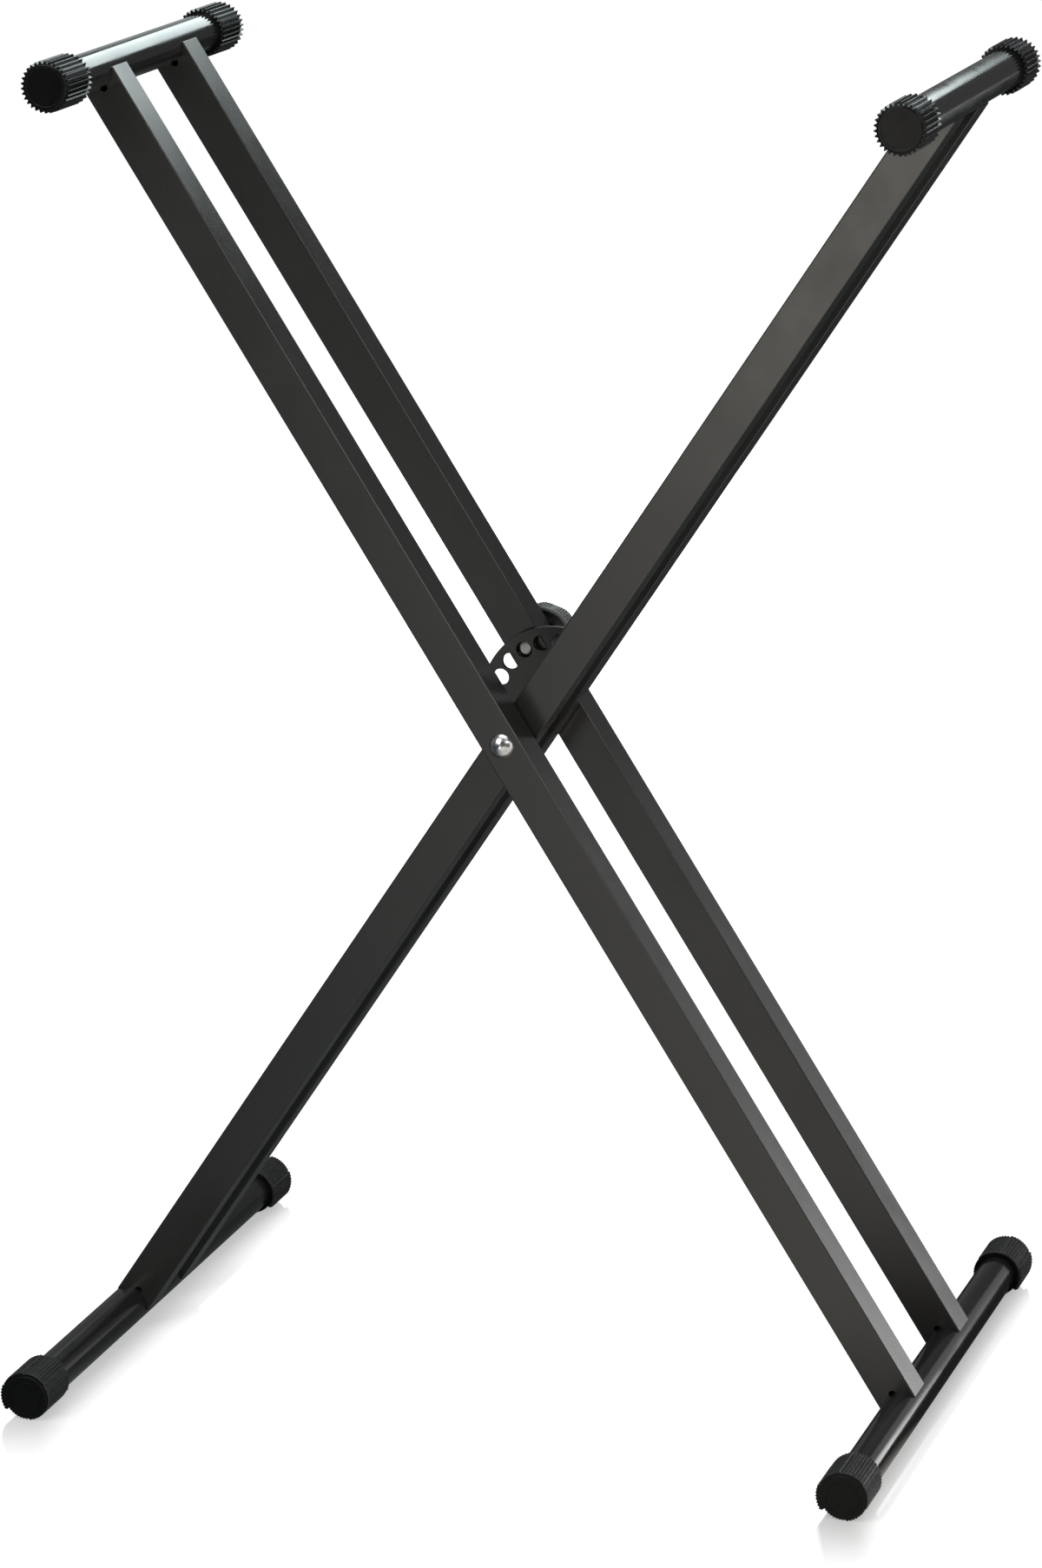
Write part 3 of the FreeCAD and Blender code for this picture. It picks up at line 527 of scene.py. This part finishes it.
# The dim floor that the paint mirrors: its lines slant to the rear right
DIM_SLANT = -0.35
DIM_ACROSS_BAND = (-0.30, 0.34, 0.0, 0.88)
DIM_FRONT_BAND = (-0.05, -0.27, 0.0, 1.0)
DIM_BASE_BAND = (0.1, -0.3, 0.03, 0.09)
DIM_WARMTH_BAND = (-0.15, 0.2, 0.0, 1.0)
DIM_COOL = (0.90, 1.0, 1.0)
DIM_WARM = (1.0, 0.95, 0.87)

# The mirror image shows close to the base rails and fades away from them. In front of the caps
# it follows the line of sight, which slants to the right. Starts and ends count from a rail's axis.
CAP_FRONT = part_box("outer_base_cap_front")[0][1]
SIGHT_SLANT = math.tan(AZIMUTH)
MIRROR_LEFT = {"start": (-0.02018, -0.01468), "end": (0.00432, 0.05032), "level": 0.85}
MIRROR_RIGHT = {"start": (-0.02032, -0.01482), "end": (0.00168, 0.03768), "level": 1.0}
MIRROR_FADE_BAND = (-0.105, -0.004, 0.0, 0.5)
MIRROR_REAR_BAND = (0.225, 0.260, 1.0, 0.0)


def mirror_strip(tree, place, rail_x, start, end, level):
    """Share of the mirror along one base rail: sharp on its left, fading out on its right."""
    rise = spread(tree, place, (rail_x + start[0], rail_x + start[1], 0.0, 1.0))
    fall = spread(tree, place, (rail_x + end[0], rail_x + end[1], level, 0.0), "SMOOTHSTEP")
    return times(tree, rise, fall)


def mirror_share(tree, spot):
    ahead = calc(tree, "SUBTRACT", spot["Y"], CAP_FRONT)
    ahead_only = calc(tree, "MINIMUM", ahead, 0.0)
    sight_x = calc(tree, "MULTIPLY_ADD", ahead_only, SIGHT_SLANT, spot["X"])
    left = mirror_strip(tree, sight_x, -RAIL_X, **MIRROR_LEFT)
    right = mirror_strip(tree, sight_x, RAIL_X, **MIRROR_RIGHT)
    share = times(tree, calc(tree, "MAXIMUM", left, right), spread(tree, ahead, MIRROR_FADE_BAND))
    return times(tree, share, spread(tree, spot["Y"], MIRROR_REAR_BAND))


def dim_floor(tree, spot):
    slant = calc(tree, "MULTIPLY_ADD", spot["Y"], DIM_SLANT, spot["X"])
    across = spread(tree, slant, DIM_ACROSS_BAND)
    front = spread(tree, spot["Y"], DIM_FRONT_BAND)
    base = spread(tree, spot["X"], DIM_BASE_BAND)
    # Painted light: the floor glows for reflected rays, brighter towards the front right, warm on the right
    # and cool on the left.
    node = add(tree, "ShaderNodeEmission")
    tint = blend_colours(tree, spread(tree, slant, DIM_WARMTH_BAND), DIM_COOL, DIM_WARM)
    tree.links.new(tint, node.inputs["Color"])
    tree.links.new(calc(tree, "MULTIPLY_ADD", across, front, base), node.inputs["Strength"])
    return node.outputs["Emission"]


def floor_material():
    material, tree, shader, output = new_material("floor")
    path = add(tree, "ShaderNodeLightPath").outputs
    place = add(tree, "ShaderNodeNewGeometry").outputs["Position"]
    spot = axes_of(tree, place)
    distance = calc(tree, "LENGTH", place, kind="ShaderNodeVectorMath")
    glow = times(tree, path["Is Camera Ray"], spread(tree, distance, FLOOR_GLOW_BAND))
    feed(tree, FLOOR_GREY, shader.inputs["Base Color"])
    feed(tree, FLOOR_ROUGHNESS, shader.inputs["Roughness"])
    feed(tree, 0.0, shader.inputs["Specular IOR Level"])
    feed(tree, WHITE, shader.inputs["Emission Color"])
    feed(tree, glow, shader.inputs["Emission Strength"])
    mirror = add(tree, "ShaderNodeBsdfGlossy")
    feed(tree, WHITE, mirror.inputs["Color"])
    feed(tree, 0.0, mirror.inputs["Roughness"])
    polished = mix_shaders(tree, mirror_share(tree, spot), shader.outputs["BSDF"], mirror.outputs["BSDF"])
    chosen = mix_shaders(tree, path["Is Glossy Ray"], polished, dim_floor(tree, spot))
    tree.links.new(chosen, output.inputs["Surface"])
    return material


corners = [(-1, -1), (1, -1), (1, 1), (-1, 1)]
floor_mesh = bpy.data.meshes.new("floor")
floor_mesh.from_pydata([(FLOOR_HALF * x, FLOOR_HALF * y, 0.0) for x, y in corners], [], [(0, 1, 2, 3)])
floor_mesh.materials.append(floor_material())
floor = bpy.data.objects.new("floor", floor_mesh)
scene.collection.objects.link(floor)
